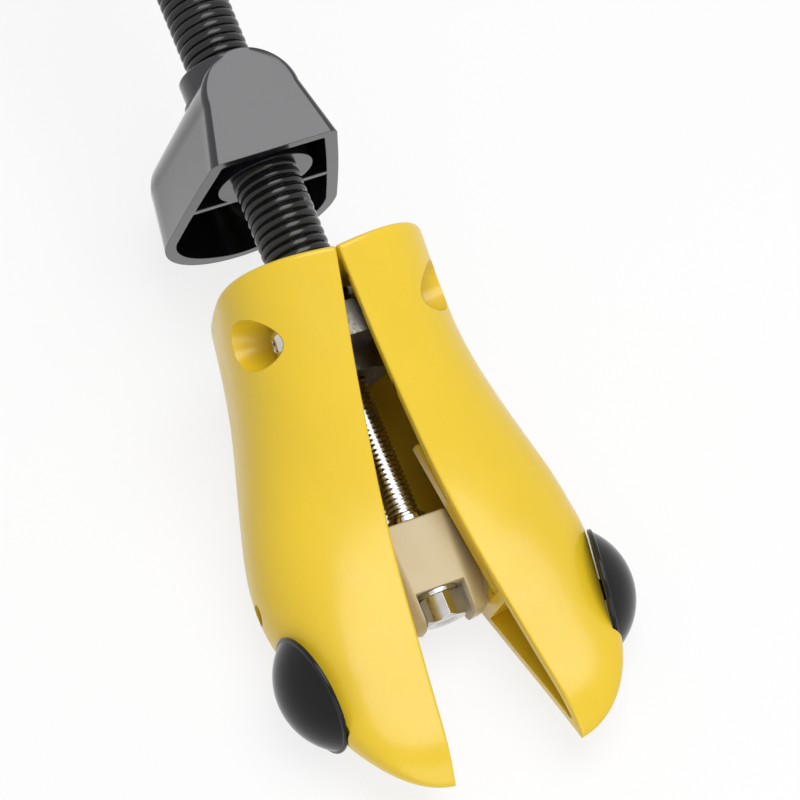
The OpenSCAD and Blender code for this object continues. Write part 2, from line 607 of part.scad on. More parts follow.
toe_half(1);  // toe_half_left
toe_half(-1);  // toe_half_right
bunion_plug(1);  // bunion_plug_left
bunion_plug(-1);  // bunion_plug_right
tie_screw(1);  // tie_screw_left
tie_screw(-1);  // tie_screw_right
tie_spring(1);  // tie_spring_left
tie_spring(-1);  // tie_spring_right
neck_hub();
hub_set_screw();
spindle_nut();
screw_tube();
tube_end_cap();
heel_block();
spindle_rod();
spindle_collar();
wedge_block();
wedge_bolt();
bolt_washer();
handle_boss();
handle_bar();
handle_cap(1);  // handle_cap_left
handle_cap(-1);  // handle_cap_right
handle_pin();
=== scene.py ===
"""A two-way shoe stretcher: split yellow toe, threaded tube, heel block, wedge and spindle.

Shapes are worked out in millimetres in the tube's own frame, whose origin lies on the tube's
centre line at the neck, with x towards the toe and z towards the instep. The stance then tilts
them onto the table, in metres.
"""

import logging
import math
from dataclasses import dataclass, field
from enum import Enum

import bmesh
import bpy
import numpy as np
from mathutils import Matrix, Vector


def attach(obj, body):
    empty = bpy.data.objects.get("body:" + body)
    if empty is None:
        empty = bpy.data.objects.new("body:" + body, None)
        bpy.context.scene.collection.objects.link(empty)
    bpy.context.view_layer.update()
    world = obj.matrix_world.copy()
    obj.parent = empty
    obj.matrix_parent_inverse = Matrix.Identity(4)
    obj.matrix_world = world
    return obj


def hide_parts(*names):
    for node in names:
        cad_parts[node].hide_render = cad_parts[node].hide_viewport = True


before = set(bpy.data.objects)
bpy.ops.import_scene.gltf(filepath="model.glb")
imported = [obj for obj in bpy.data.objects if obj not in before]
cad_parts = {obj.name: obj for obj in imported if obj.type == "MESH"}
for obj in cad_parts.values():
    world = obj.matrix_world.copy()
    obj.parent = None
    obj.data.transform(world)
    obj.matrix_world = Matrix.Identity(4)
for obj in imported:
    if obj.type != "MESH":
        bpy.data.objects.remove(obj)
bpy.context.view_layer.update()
log = logging.getLogger("stretcher")

MM = 0.001
TUBE_TILT = math.radians(18.4)
STAND_X = 43.69
STAND_Z = 42.22
OPEN_ANGLE = math.radians(7.3)
SMOOTH_ANGLE = math.radians(38)


class Side(Enum):
    """The two sides of the stretcher, as the sign of y."""

    LEFT = 1
    RIGHT = -1


def to_stand(points: np.ndarray) -> np.ndarray:
    """Moves points from the tube's frame to the table's frame.

    Args:
        points: Rows of x, y, z in millimetres in the tube's frame.

    Returns:
        Rows of x, y, z in metres in the frame of the whole part.
    """
    p = np.asarray(points, float)
    c, s = math.cos(TUBE_TILT), math.sin(TUBE_TILT)
    out = np.empty_like(p)
    out[..., 0] = p[..., 0] * c + p[..., 2] * s + STAND_X
    out[..., 1] = p[..., 1]
    out[..., 2] = -p[..., 0] * s + p[..., 2] * c + STAND_Z
    return out * MM


def swung(points: np.ndarray, side: Side) -> np.ndarray:
    """Swings points of the left half, closed, to one side's shown place.

    Args:
        points: Rows of x, y, z in millimetres for the left half, closed.
        side: The side that the points belong to.

    Returns:
        Rows in the tube's frame, mirrored for the right side.
    """
    p = np.asarray(points, float)
    c, s = math.cos(OPEN_ANGLE), math.sin(OPEN_ANGLE)
    out = np.empty_like(p)
    out[..., 0] = p[..., 0] * c - p[..., 1] * s
    out[..., 1] = (p[..., 0] * s + p[..., 1] * c) * side.value
    out[..., 2] = p[..., 2]
    return out


def spline(xs: list, ys: list):
    """Makes a natural cubic spline through a table.

    Args:
        xs: Rising places.
        ys: The value at each place.

    Returns:
        A function from places to values.
    """
    x, y = np.asarray(xs, float), np.asarray(ys, float)
    n, h = len(x), np.diff(x)
    a = np.zeros((n, n))
    b = np.zeros(n)
    a[0, 0] = a[-1, -1] = 1
    for i in range(1, n - 1):
        a[i, i - 1], a[i, i], a[i, i + 1] = h[i - 1], 2 * (h[i - 1] + h[i]), h[i]
        b[i] = 6 * ((y[i + 1] - y[i]) / h[i] - (y[i] - y[i - 1]) / h[i - 1])
    m = np.linalg.solve(a, b)

    def value(at):
        """Reads the spline at one place or an array of places."""
        at = np.asarray(at, float)
        i = np.clip(np.searchsorted(x, at) - 1, 0, n - 2)
        u, v = x[i + 1] - at, at - x[i]
        return (m[i] * u**3 + m[i + 1] * v**3) / (6 * h[i]) + (
            y[i] / h[i] - m[i] * h[i] / 6) * u + (y[i + 1] / h[i] - m[i + 1] * h[i] / 6) * v

    return value


def build(name: str, points: np.ndarray, faces: list) -> bpy.types.Object:
    """Makes a mesh object from points in metres, with its faces turned outwards.

    Args:
        name: Name of the piece.
        points: Rows of x, y, z in metres.
        faces: Tuples of point numbers.

    Returns:
        The new object, linked to the scene.
    """
    mesh = bpy.data.meshes.new(name)
    mesh.from_pydata([tuple(p) for p in points], [], faces)
    mesh.validate()
    work = bmesh.new()
    work.from_mesh(mesh)
    bmesh.ops.recalc_face_normals(work, faces=work.faces)
    if work.calc_volume(signed=True) < 0:
        bmesh.ops.reverse_faces(work, faces=work.faces)
    work.to_mesh(mesh)
    work.free()
    obj = bpy.data.objects.new(name, mesh)
    bpy.context.scene.collection.objects.link(obj)
    return obj


def loft(name: str, rings: np.ndarray, joined: bool = False) -> bpy.types.Object:
    """Makes a solid through rings of equally many points, given in the tube's frame.

    Args:
        name: Name of the piece.
        rings: An array of rings, points and x, y, z in millimetres.
        joined: Whether the last ring joins the first, as in a closed hoop.

    Returns:
        The new object.
    """
    n, m = rings.shape[:2]
    quads = []
    for i in range(n if joined else n - 1):
        k = (i + 1) % n
        for j in range(m):
            l = (j + 1) % m
            quads.append((i * m + j, i * m + l, k * m + l, k * m + j))
    if not joined:
        quads.append(tuple(range(m - 1, -1, -1)))
        quads.append(tuple((n - 1) * m + j for j in range(m)))
    return build(name, to_stand(rings.reshape(-1, 3)), quads)


def axis_frame(direction: tuple) -> tuple:
    """Finds two directions square to a direction.

    Args:
        direction: The direction to stand square to.

    Returns:
        The unit direction and the two square ones.
    """
    w = np.asarray(direction, float)
    w = w / np.linalg.norm(w)
    u = np.cross([0, 0, 1] if abs(w[2]) < 0.9 else [1, 0, 0], w)
    u = u / np.linalg.norm(u)
    return w, u, np.cross(w, u)


def lathe(name: str, outline: list, start: tuple, direction: tuple, sides: int = 96,
          place=None) -> bpy.types.Object:
    """Turns an outline about an axis in the tube's frame.

    Args:
        name: Name of the piece.
        outline: Pairs of radius and distance along the axis, in millimetres.
        start: Where distance 0 lies on the axis.
        direction: Direction of the axis.
        sides: Number of steps round the axis.
        place: A function that moves the points into the tube's frame, if any.

    Returns:
        The new object, closed where the outline reaches the axis or itself.
    """
    w, u, v = axis_frame(direction)
    turn = np.linspace(0, 2 * math.pi, sides, endpoint=False)
    spokes = np.cos(turn)[:, None] * u + np.sin(turn)[:, None] * v
    profile = [(r, d) for r, d in outline if r > 1e-6]
    points = np.array([np.asarray(start) + w * d + spokes * r for r, d in profile])
    if place is not None:
        points = place(points)
    closed = outline[0][0] > 1e-6 and outline[-1][0] > 1e-6
    return loft(name, points, joined=closed)


def rounded(corners: list, radii: list, steps: int = 5) -> list:
    """Rounds the corners of an open outline.

    Args:
        corners: The outline's corners as pairs.
        radii: The radius at each corner, 0 at the two ends.
        steps: Points on each rounded corner.

    Returns:
        The rounded outline as pairs.
    """
    out = []
    for i, (corner, radius) in enumerate(zip(corners, radii)):
        if radius <= 0 or i in (0, len(corners) - 1):
            out.append(tuple(corner))
            continue
        p, a, b = (np.asarray(c, float) for c in (corner, corners[i - 1], corners[i + 1]))
        da, db = (a - p) / np.linalg.norm(a - p), (b - p) / np.linalg.norm(b - p)
        half = math.acos(max(-1, min(1, float(da @ db)))) / 2
        reach = min(radius / math.tan(half), 0.49 * np.linalg.norm(a - p),
                    0.49 * np.linalg.norm(b - p))
        for k in range(steps + 1):
            t = k / steps
            q = (1 - t) ** 2 * (p + da * reach) + 2 * t * (1 - t) * p + t * t * (p + db * reach)
            out.append((float(q[0]), float(q[1])))
    return out


def cut(body: bpy.types.Object, *tools: bpy.types.Object, keep: bool = False) -> None:
    """Takes tools out of a body.

    Args:
        body: The object that is cut.
        tools: The objects that are taken out of it, which go afterwards.
        keep: Whether the tools stay in the scene.
    """
    combine(body, "DIFFERENCE", *tools)
    if not keep:
        remove(*tools)


def add(body: bpy.types.Object, *parts: bpy.types.Object) -> None:
    """Joins parts to a body as one solid, and removes the parts."""
    combine(body, "UNION", *parts)
    remove(*parts)


def remove(*objects: bpy.types.Object) -> None:
    """Removes objects and their meshes."""
    for obj in objects:
        mesh = obj.data
        bpy.data.objects.remove(obj)
        bpy.data.meshes.remove(mesh)


def combine(body: bpy.types.Object, operation: str, *tools: bpy.types.Object) -> None:
    """Applies one boolean after another to a body.

    Args:
        body: The object that changes.
        operation: DIFFERENCE, UNION or INTERSECT.
        tools: The other objects, one at a time.
    """
    for tool in tools:
        step = body.modifiers.new("cut", "BOOLEAN")
        step.operation = operation
        step.object = tool
        step.solver = "EXACT"
        bpy.context.view_layer.update()
        made = bpy.data.meshes.new_from_object(
            body.evaluated_get(bpy.context.evaluated_depsgraph_get()))
        old = body.data
        body.modifiers.clear()
        body.data = made
        bpy.data.meshes.remove(old)
        made.name = body.name


def soften(obj: bpy.types.Object, angle: float = SMOOTH_ANGLE) -> None:
    """Shades a piece smooth and keeps its edges sharp.

    Args:
        obj: The piece.
        angle: Edges that turn more than this stay sharp.
    """
    for face in obj.data.polygons:
        face.use_smooth = True
    obj.data.set_sharp_from_angle(angle=angle)


def dress(obj: bpy.types.Object, finish: bpy.types.Material, body: str, slot: str,
          *stands_for: str) -> None:
    """Gives a piece its finish, its body and the CAD nodes that it stands for.

    Args:
        obj: The piece.
        finish: Its material.
        body: The CAD body that it moves with.
        slot: The record's material slot; not used.
        stands_for: CAD nodes that it replaces.
    """
    obj.data.materials.clear()
    obj.data.materials.append(finish)
    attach(obj, body)
    if stands_for:
        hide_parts(*stands_for)
    log.info("%s rides on %s", obj.name, body)


@dataclass(frozen=True)
class Plastic:
    """A moulded plastic with faint flow marks, soft waviness and slightly worn edges."""

    name: str
    colour: tuple
    roughness: float
    marks: float = 0.05
    waviness: float = 0.06
    edge: float = 0.35
    coat: float = 0.0
    shine: float = 0.5

    def material(self) -> bpy.types.Material:
        """Makes the plastic's material."""
        kit = Nodes(self.name)
        flow = kit.noise(scale=60, detail=4, stretch=(0.25, 1, 1))
        fine = kit.noise(scale=120, detail=1)
        light = tuple(min(1, c * (1 + self.marks)) for c in self.colour)
        dark = tuple(c * (1 - self.marks) for c in self.colour)
        kit.mix_colour(flow, dark, light, "Base Color")
        kit.spread(fine, self.roughness * 0.85, self.roughness * 1.15, "Roughness")
        kit.set("Coat Weight", self.coat)
        kit.set("Coat Roughness", 0.12)
        kit.set("IOR", 1.5)
        kit.set("Specular IOR Level", self.shine)
        kit.bump(kit.noise(scale=35, detail=1), self.waviness, 0.0006, self.edge)
        return kit.finished


@dataclass(frozen=True)
class Metal:
    """A plated steel with fine tool marks and dull spots."""

    name: str
    colour: tuple = (0.86, 0.86, 0.87)
    roughness: float = 0.14
    marks: float = 0.08
    edge: float = 0.15

    def material(self) -> bpy.types.Material:
        """Makes the metal's material."""
        kit = Nodes(self.name)
        spots = kit.noise(scale=300, detail=3)
        lines = kit.noise(scale=1500, detail=2, stretch=(1, 1, 0.2))
        kit.set("Metallic", 1.0)
        dark = tuple(c * (1 - 2 * self.marks) for c in self.colour)
        kit.mix_colour(spots, dark, self.colour, "Base Color")
        kit.spread(lines, self.roughness * 0.7, self.roughness * 1.5, "Roughness")
        kit.bump(lines, 0.05, 0.00005, self.edge)
        return kit.finished


class Nodes:
    """A material's node tree, with short ways to add what the finishes need."""

    def __init__(self, name: str) -> None:
        """Starts a material of that name with its shader."""
        self.finished = bpy.data.materials.new(name)
        self.finished.use_nodes = True
        self.tree = self.finished.node_tree
        self.shader = self.tree.nodes["Principled BSDF"]
        self.place = self.add("ShaderNodeTexCoord").outputs["Object"]

    def add(self, kind: str) -> bpy.types.Node:
        """Adds a node of a kind."""
        return self.tree.nodes.new(kind)

    def link(self, a: bpy.types.NodeSocket, b: bpy.types.NodeSocket) -> None:
        """Links an output to an input."""
        self.tree.links.new(a, b)

    def set(self, socket: str, value) -> None:
        """Sets a number or colour on the shader's own socket."""
        self.shader.inputs[socket].default_value = value

    def noise(self, scale: float, detail: float, stretch: tuple = (1, 1, 1)):
        """Adds a noise over the piece.

        Args:
            scale: Noise scale per metre.
            detail: Detail of the noise.
            stretch: Share of the scale along x, y and z.

        Returns:
            The noise's value output.
        """
        mapping = self.add("ShaderNodeMapping")
        mapping.inputs["Scale"].default_value = stretch
        self.link(self.place, mapping.inputs["Vector"])
        noise = self.add("ShaderNodeTexNoise")
        noise.inputs["Scale"].default_value = scale
        noise.inputs["Detail"].default_value = detail
        self.link(mapping.outputs["Vector"], noise.inputs["Vector"])
        return noise.outputs["Fac"]

    def spread(self, value, low: float, high: float, socket: str) -> None:
        """Maps a noise to a range and feeds it to a socket of the shader."""
        ramp = self.add("ShaderNodeMapRange")
        for key, number in (("From Min", 0.3), ("From Max", 0.7), ("To Min", low), ("To Max", high)):
            ramp.inputs[key].default_value = number
        self.link(value, ramp.inputs["Value"])
        self.link(ramp.outputs["Result"], self.shader.inputs[socket])

    def mix_colour(self, value, dark: tuple, light: tuple, socket: str) -> None:
        """Mixes two colours by a noise and feeds them to a socket of the shader."""
        ramp = self.add("ShaderNodeValToRGB")
        ramp.color_ramp.elements[0].position = 0.3
        ramp.color_ramp.elements[1].position = 0.7
        ramp.color_ramp.elements[0].color = (*dark, 1)
        ramp.color_ramp.elements[1].color = (*light, 1)
        self.link(value, ramp.inputs["Fac"])
        self.link(ramp.outputs["Color"], self.shader.inputs[socket])

    def bump(self, value, strength: float, distance: float, edge: float) -> None:
        """Adds bump from a noise over normals that round the edges a little.

        Args:
            value: The noise.
            strength: Strength of the bump.
            distance: Height of the bump in metres.
            edge: Radius of the rounded edges in millimetres.
        """
        bump = self.add("ShaderNodeBump")
        bump.inputs["Strength"].default_value = strength
        bump.inputs["Distance"].default_value = distance
        self.link(value, bump.inputs["Height"])
        if edge:
            bevel = self.add("ShaderNodeBevel")
            bevel.samples = 6
            bevel.inputs["Radius"].default_value = edge * MM
            self.link(bevel.outputs["Normal"], bump.inputs["Normal"])
        self.link(bump.outputs["Normal"], self.shader.inputs["Normal"])


class Finish(Enum):
    """The finishes of the stretcher's pieces."""

    YELLOW = Plastic("yellow_plastic", (0.78, 0.535, 0.022), 0.30, marks=0.03, waviness=0.03,
                     coat=0.15, shine=0.4)
    BLACK = Plastic("black_plastic", (0.010, 0.010, 0.015), 0.16, marks=0.08, coat=0.25)
    TUBE = Plastic("black_tube", (0.006, 0.006, 0.007), 0.14, marks=0.08, edge=0.08, shine=0.4)
    BUTTON = Plastic("black_button", (0.006, 0.006, 0.007), 0.12, marks=0.08, shine=0.22)
    CREAM = Plastic("cream_plastic", (0.56, 0.46, 0.27), 0.42, marks=0.05, waviness=0.12)
    GRIP = Plastic("black_grip", (0.02, 0.02, 0.02), 0.55, marks=0.1, waviness=0.3)
    STEEL = Metal("plated_steel", (0.62, 0.61, 0.60))
    DULL = Metal("dull_steel", (0.20, 0.19, 0.17), 0.42)


finishes: dict = {}


def coat(finish: Finish) -> bpy.types.Material:
    """Gives a finish's material, made once."""
    if finish not in finishes:
        finishes[finish] = finish.value.material()
    return finishes[finish]


@dataclass
class Camera:
    """The camera that the photograph was taken with, in the tube's frame."""

    place: tuple = (199.29, -180.03, 658.71)
    right: tuple = (0.371, 0.913, 0.171)
    down: tuple = (0.898, -0.306, -0.315)
    focal_px: float = 2737.4
    frame_px: int = 800
    sensor: float = 36.0

    def build(self) -> bpy.types.Object:
        """Makes the camera."""
        lens = bpy.data.cameras.new("camera")
        lens.sensor_width = self.sensor
        lens.lens = self.focal_px / self.frame_px * self.sensor
        lens.clip_end = 20
        camera = bpy.data.objects.new("camera", lens)
        bpy.context.scene.collection.objects.link(camera)
        origin = to_stand(np.zeros(3))
        right = to_stand(np.array(self.right)) - origin
        up = origin - to_stand(np.array(self.down))
        right = Vector(right).normalized()
        up = Vector(up).normalized()
        back = right.cross(up).normalized()
        up = back.cross(right)
        turn = Matrix((right, up, back)).transposed().to_4x4()
        camera.matrix_world = Matrix.Translation(Vector(to_stand(np.array(self.place)))) @ turn
        bpy.context.scene.camera = camera
        return camera


@dataclass
class ToeHalf:
    """One half of the split toe: a hollow shell with a recess, a rail and a plug."""

    side: Side
    length: float = 133.4
    shell: float = 2.8
    sole: float = 3.4
    neck_wall: float = 3.0
    neck_round: float = 1.8
    gap: float = 0.2
    cross_x: float = 91.5
    cross_wall: float = 3.2
    neck_power: float = 2.4
    ball_power: float = 2.4
    tip_power: float = 3.4
    square_l: float = 45.0
    tip_square: tuple = (78.0, 20.0)
    sole_power: float = 2.6
    seat_gap: float = 0.4
    rings: int = 150
    recess: tuple = (16.0, 20.0, 13.2, 9.4)
    recess_floor: float = 2.4
    recess_wall: float = 1.8
    neck_hole_r: float = 10.3
    tie_hole_r: float = 3.3
    hole_fit: float = 0.05
    seat_fit: float = 0.3
    plug: tuple = (102.4, 26.9, 4.1)
    plug_yaw: float = 16.0
    plug_lean: dict = field(default_factory=lambda: {Side.LEFT: 14.0, Side.RIGHT: 5.0})
    plug_d: float = 31.6
    plug_h: float = 8.5
    stem_d: float = 5.6
    spare_hole: tuple = (78.0, -6.0)
    lip: tuple = (49.0, 0.5, 7.4)
    lip_size: tuple = (2.6, 3.6)
    table: list = field(default_factory=lambda: [
        (0, 28, 38.3, -37, 12), (12, 27.7, 33, -35, 5), (26, 27.9, 26.8, -32, -3),
        (40, 29.5, 22, -29, -7.4), (55, 31.8, 17.6, -25.8, -8.4), (70, 33.5, 15.2, -20.9, -7.7),
        (85, 32.4, 14.9, -13.4, -4.9), (100, 27.9, 15.8, -5.4, 0), (112, 24.6, 16.7, 1.2, 5.3),
        (122, 19.1, 17.4, 6.5, 10.2), (130, 10.8, 15.8, 10.4, 12.9), (133.4, 0, 13.2, 12.8, 13)])

    def __post_init__(self) -> None:
        """Makes the smooth readings of the table."""
        rows = [(-math.sqrt(max(self.length - r[0], 0)), *r[1:]) for r in self.table]
        q = [r[0] for r in rows]
        self.curves = [spline(q, [r[c] for r in rows]) for c in (1, 2, 3, 4)]

    def outline(self, x: float, inset: float = 0.0, soft: float = 0.0) -> np.ndarray:
        """Draws the half's section at a distance from the neck.

        Args:
            x: Distance from the neck.
            inset: Wall that is taken off the section.
            soft: Radius of the corners at the split.

        Returns:
            Rows of x, y, z from the sole's split edge round to the instep's.
        """
        q = -math.sqrt(max(self.length - x, 0))
        w, top, low, mid = (float(c(q)) for c in self.curves)
        w = max(w - inset, 0.02)
        up = max(top - mid - inset, 0.02)
        down = max(mid - low - inset * self.sole / self.shell, 0.02)
        near = np.array([0, 0.12, 0.3, 0.55, 0.9, 1.4, 2.2, 3.2]) * min(1, w / 8)
        rows = []
        start, run = self.tip_square
        at_neck = max(1 - max(x, 0) / self.square_l, 0)
        at_tip = min(max((x - start) / run, 0), 1)
        square = (self.ball_power + (self.neck_power - self.ball_power) * at_neck
                  + (self.tip_power - self.ball_power) * at_tip)
        for power, height, sign in ((self.sole_power, down, -1), (square, up, 1)):
            c = (near / w) ** (power / 2)
            a = np.concatenate([np.arccos(c), np.linspace(math.acos(c[-1]), 0, 24)[1:]])
            y = w * np.cos(a) ** (2 / power)
            z = height * np.sin(a) ** (2 / power)
            r = soft * min(1, w / 8)
            if r > 0:
                z = z - np.where(y < r, r - np.sqrt(np.maximum(r * r - (r - y) ** 2, 0)), 0)
            half = np.stack([np.full_like(y, x), y + self.gap, mid + sign * z], 1)
            rows.append(half if sign < 0 else half[::-1][1:])
        return np.concatenate(rows)

    def outside(self) -> np.ndarray:
        """Draws the rings of the whole outer shape."""
        q = np.linspace(math.sqrt(self.length), 0.04, self.rings)
        x = self.length - q * q
        start = self.neck_round * (1 - np.cos(np.linspace(0, math.pi / 2, 8)))
        x = np.concatenate([start, x[x > self.neck_round + 0.3]])
        rings = []
        for place in x:
            d = max(self.neck_round - place, 0)
            inset = self.neck_round - math.sqrt(self.neck_round**2 - d * d)
            rings.append(self.outline(place, inset, soft=0.7))
        return np.array(rings)

    def hollow(self, name: str, start: float, end: float, count: int) -> bpy.types.Object:
        """Makes the solid of a hollow that opens at the split.

        Args:
            name: Name of the solid.
            start: Where it starts.
            end: Where it ends.
            count: Number of rings.

        Returns:
            The solid, past the split plane.
        """
        rings = []
        for x in np.linspace(start, end, count):
            ring = self.outline(x, self.shell)
            first, last = ring[0].copy(), ring[-1].copy()
            first[1] = last[1] = -2
            rings.append(np.concatenate([[first], ring, [last]]))
        return loft(name, swung(np.array(rings), self.side))

    def rod(self, name: str, start: tuple, direction: tuple, radius: float,
            length: float) -> bpy.types.Object:
        """Makes a plain round tool in the closed half's frame."""
        outline = [(0, 0), (radius, 0), (radius, length), (0, length)]
        return lathe(name, outline, start, direction, 72, lambda p: swung(p, self.side))

    def rail(self) -> bpy.types.Object:
        """Makes the rail that the wedge bears on, with its web."""
        shoulder_x, shoulder_y, travel, on = 88.8, 11.9, 37.0, 3.0
        path = []
        for s in np.linspace(-travel, on, 24):
            a = OPEN_ANGLE + s * OPEN_ANGLE / travel
            path.append(((shoulder_x + s) * math.cos(a) + shoulder_y * math.sin(a),
                         max(0.3 + shoulder_y * math.cos(a) - (shoulder_x + s) * math.sin(a), 0.4)))
        thick, high, web = 2.6, 11.0, 2.4
        rings = np.array([[(x, y, -high / 2), (x, y + thick, -high / 2), (x, y + thick, high / 2),
                           (x, y, high / 2)] for x, y in path])
        rail = loft("rail", swung(rings, self.side))
        rings = np.array([[(x, y + 1, -web / 2), (x, 36, -web / 2), (x, 36, web / 2),
                           (x, y + 1, web / 2)] for x, y in path])
        add(rail, loft("web", swung(rings, self.side)))
        return rail

    def split_lip(self) -> bpy.types.Object:
        """Makes the lip beside the split, a bar over the wedge that hangs on a web."""
        x, y, z = self.lip
        thick, high = self.lip_size

        def bar(name: str, y0: float, y1: float, z1: float) -> bpy.types.Object:
            """Makes a straight bar of the lip, from the lip's lower edge up to z1."""
            corners = [(y0, z), (y1, z), (y1, z1), (y0, z1)]
            rings = np.array([[(v, a, b) for a, b in corners] for v in (x, self.cross_x + 1)])
            return loft(name, swung(rings, self.side))

        lip = bar("lip", y, y + thick, z + high)
        add(lip, bar("lip_web", y + thick - 0.4, y + thick + 1.6, 38.0))
        return lip

    def plug_axis(self) -> tuple:
        """Gives the direction that the plug faces in the closed half's frame."""
        yaw, lean = math.radians(self.plug_yaw), math.radians(self.plug_lean[self.side])
        flat = math.cos(lean)
        return (math.sin(yaw) * flat, math.cos(yaw) * flat, math.sin(lean))

    def build(self) -> bpy.types.Object:
        """Makes the half's shell."""
        side = self.side.name.lower()
        shell = loft(f"toe_shell_{side}", swung(self.outside(), self.side))
        x, z, d, floor = self.recess
        rear = self.hollow("rear_hollow", self.neck_wall, self.cross_x, 60)
        cut(rear, self.rail(), self.split_lip(),
            self.rod("recess_wall", (x, floor - self.recess_floor, z), (0, 1, 0),
                     d / 2 + self.recess_wall, 40))
        tip = self.hollow("tip_hollow", self.cross_x + self.cross_wall, self.length - 5.6, 40)
        axis = self.plug_axis()
        seat = np.array(self.plug)
        stem = self.rod("stem_hole", tuple(seat - np.array(axis) * 10), axis,
                        self.stem_d / 2 + self.hole_fit, 12)
        dome = self.rod("plug_seat", tuple(seat - np.array(axis) * self.seat_gap), axis,
                        self.plug_d / 2 + self.seat_fit, self.plug_h)
        cut(shell, rear, tip,
            self.rod("neck_hole", (-1, 0, 0), (1, 0, 0), self.neck_hole_r, 5),
            self.rod("recess_hole", (x, floor, z), (0, 1, 0), d / 2, 30),
            self.rod("tie_hole", (x, 0, z), (0, 1, 0), self.tie_hole_r, 30), stem, dome,
            self.rod("spare_hole", (self.spare_hole[0], 25.5, self.spare_hole[1]), (0, 1, 0),
                     self.stem_d / 2 + self.hole_fit, 20))
        soften(shell)
        dress(shell, coat(Finish.YELLOW), f"half_{side}", f"toe_half_{side}", f"toe_half_{side}")
        return shell

    def build_plug(self) -> bpy.types.Object:
        """Makes the dome plug in the half's side."""
        side = self.side.name.lower()
        high, r, rim = self.plug_h, self.plug_d / 2, 1.0
        ball = (r * r + high * high) / (2 * high)
        top = math.acos((ball - high) / ball)
        arc = [(ball * math.sin(a), ball * math.cos(a) - ball + high)
               for a in np.linspace(top, 0, 40)]
        arc = [p for p in arc if p[1] > rim * 1.15]
        edge = rounded([(0, 0), (r, 0), (r, rim), arc[0]], [0, 0.35, 0.4, 0])
        stem = self.stem_d / 2
        outline = [(0, -9), (stem - 0.5, -9), (stem, -8.5), (stem, 0)] + edge[1:] + arc[1:]
        outline[-1] = (0, high)
        plug = lathe(f"bunion_dome_{side}", outline, self.plug, self.plug_axis(), 120,
                     lambda p: swung(p, self.side))
        soften(plug)
        dress(plug, coat(Finish.BUTTON), f"half_{side}", f"bunion_plug_{side}",
              f"bunion_plug_{side}")
        return plug


def threaded(name: str, start: float, end: float, radius: float, pitch: float, depth: float,
             phase: float, bore: float, step: float, sides: int = 128, crest=None,
             plain: tuple = (None, None), patch: dict = None) -> bpy.types.Object:
    """Makes a rod or tube along the tube's axis with a true screw thread.

    Args:
        name: Name of the piece.
        start: Where it starts along the axis.
        end: Where it ends.
        radius: Radius over the crests.
        pitch: Advance of the thread in one turn.
        depth: Depth of the thread.
        phase: Distance by which the thread is shifted along the axis.
        bore: Radius of the bore, 0 for a rod.
        step: Distance between rings.
        sides: Points on each ring.
        crest: A function from the place in a pitch, 0 to 1, to the share of the depth.
        plain: Where the thread fades out at the start and end.
        patch: Place, angle and size of a flat moulding patch, if any.

    Returns:
        The new object.
    """
    xs = np.arange(start, end, step)
    xs = np.append(xs, end)
    turn = np.linspace(0, 2 * math.pi, sides, endpoint=False)
    x, a = np.meshgrid(xs, turn, indexing="ij")
    place = ((x - phase) / pitch - a / (2 * math.pi)) % 1
    share = crest(place)
    low, high = plain
    fade = np.ones_like(x)
    if low is not None:
        fade = fade * np.clip((x - low) / pitch, 0, 1)
    if high is not None:
        fade = fade * np.clip((high - x) / pitch, 0, 1)
    r = radius - depth * (1 - share) * np.where(fade > 0, 1, 0) * np.sqrt(fade)
    if patch:
        da = (a - patch["angle"] + math.pi) % (2 * math.pi) - math.pi
        far = np.sqrt(((x - patch["x"]) / patch["long"]) ** 2
                      + (da * radius / patch["wide"]) ** 2)
        flat = (patch["height"]) / np.maximum(np.cos(da), 0.5)
        blend = 1 / (1 + np.exp((far - 1) * 14))
        r = r + (np.maximum(flat, r) - r) * blend
    rings = np.stack([x, r * np.cos(a), r * np.sin(a)], 2)
    edge = min(0.5, (radius - bore) * 0.3)
    head = rings[:1].copy()
    head[..., 1:] *= (radius - depth - edge) / np.hypot(head[..., 1], head[..., 2])[..., None]
    tail = rings[-1:].copy()
    tail[..., 1:] *= (radius - depth - edge) / np.hypot(tail[..., 1], tail[..., 2])[..., None]
    if bore > 0:
        inner = [np.stack([np.full(sides, v), bore * np.cos(turn), bore * np.sin(turn)], 1)
                 for v in (end, start)]
        return loft(name, np.concatenate([head, rings, tail, inner]), joined=True)
    return loft(name, np.concatenate([head, rings, tail]))


@dataclass
class ScrewTube:
    """The black tube with its coarse thread, its cap, the hub, the nut and the set screw."""

    radius: float = 9.0
    back: float = -196.0
    front: float = 18.0
    pitch: float = 2.5
    depth: float = 0.8
    bore: float = 5.25
    phase: float = 0.0

    def crest(self, u: np.ndarray) -> np.ndarray:
        """Gives the rounded coarse thread's share of its depth."""
        v = np.abs(u - 0.5) * 2
        return np.sqrt(np.clip(1 - (v / 0.93) ** 2.4, 0, 1))

    def build(self) -> bpy.types.Object:
        """Makes the tube."""
        tube = threaded("coarse_screw_tube", self.back, self.front, self.radius, self.pitch,
                        self.depth, self.phase, self.bore, 0.15, 144, self.crest,
                        (self.back + 7, 4.0),
                        {"x": -24.5, "angle": math.radians(38), "long": 3.6, "wide": 2.6,
                         "height": 8.75})
        soften(tube, math.radians(60))
        dress(tube, coat(Finish.TUBE), "frame", "screw_tube", "screw_tube")
        return tube


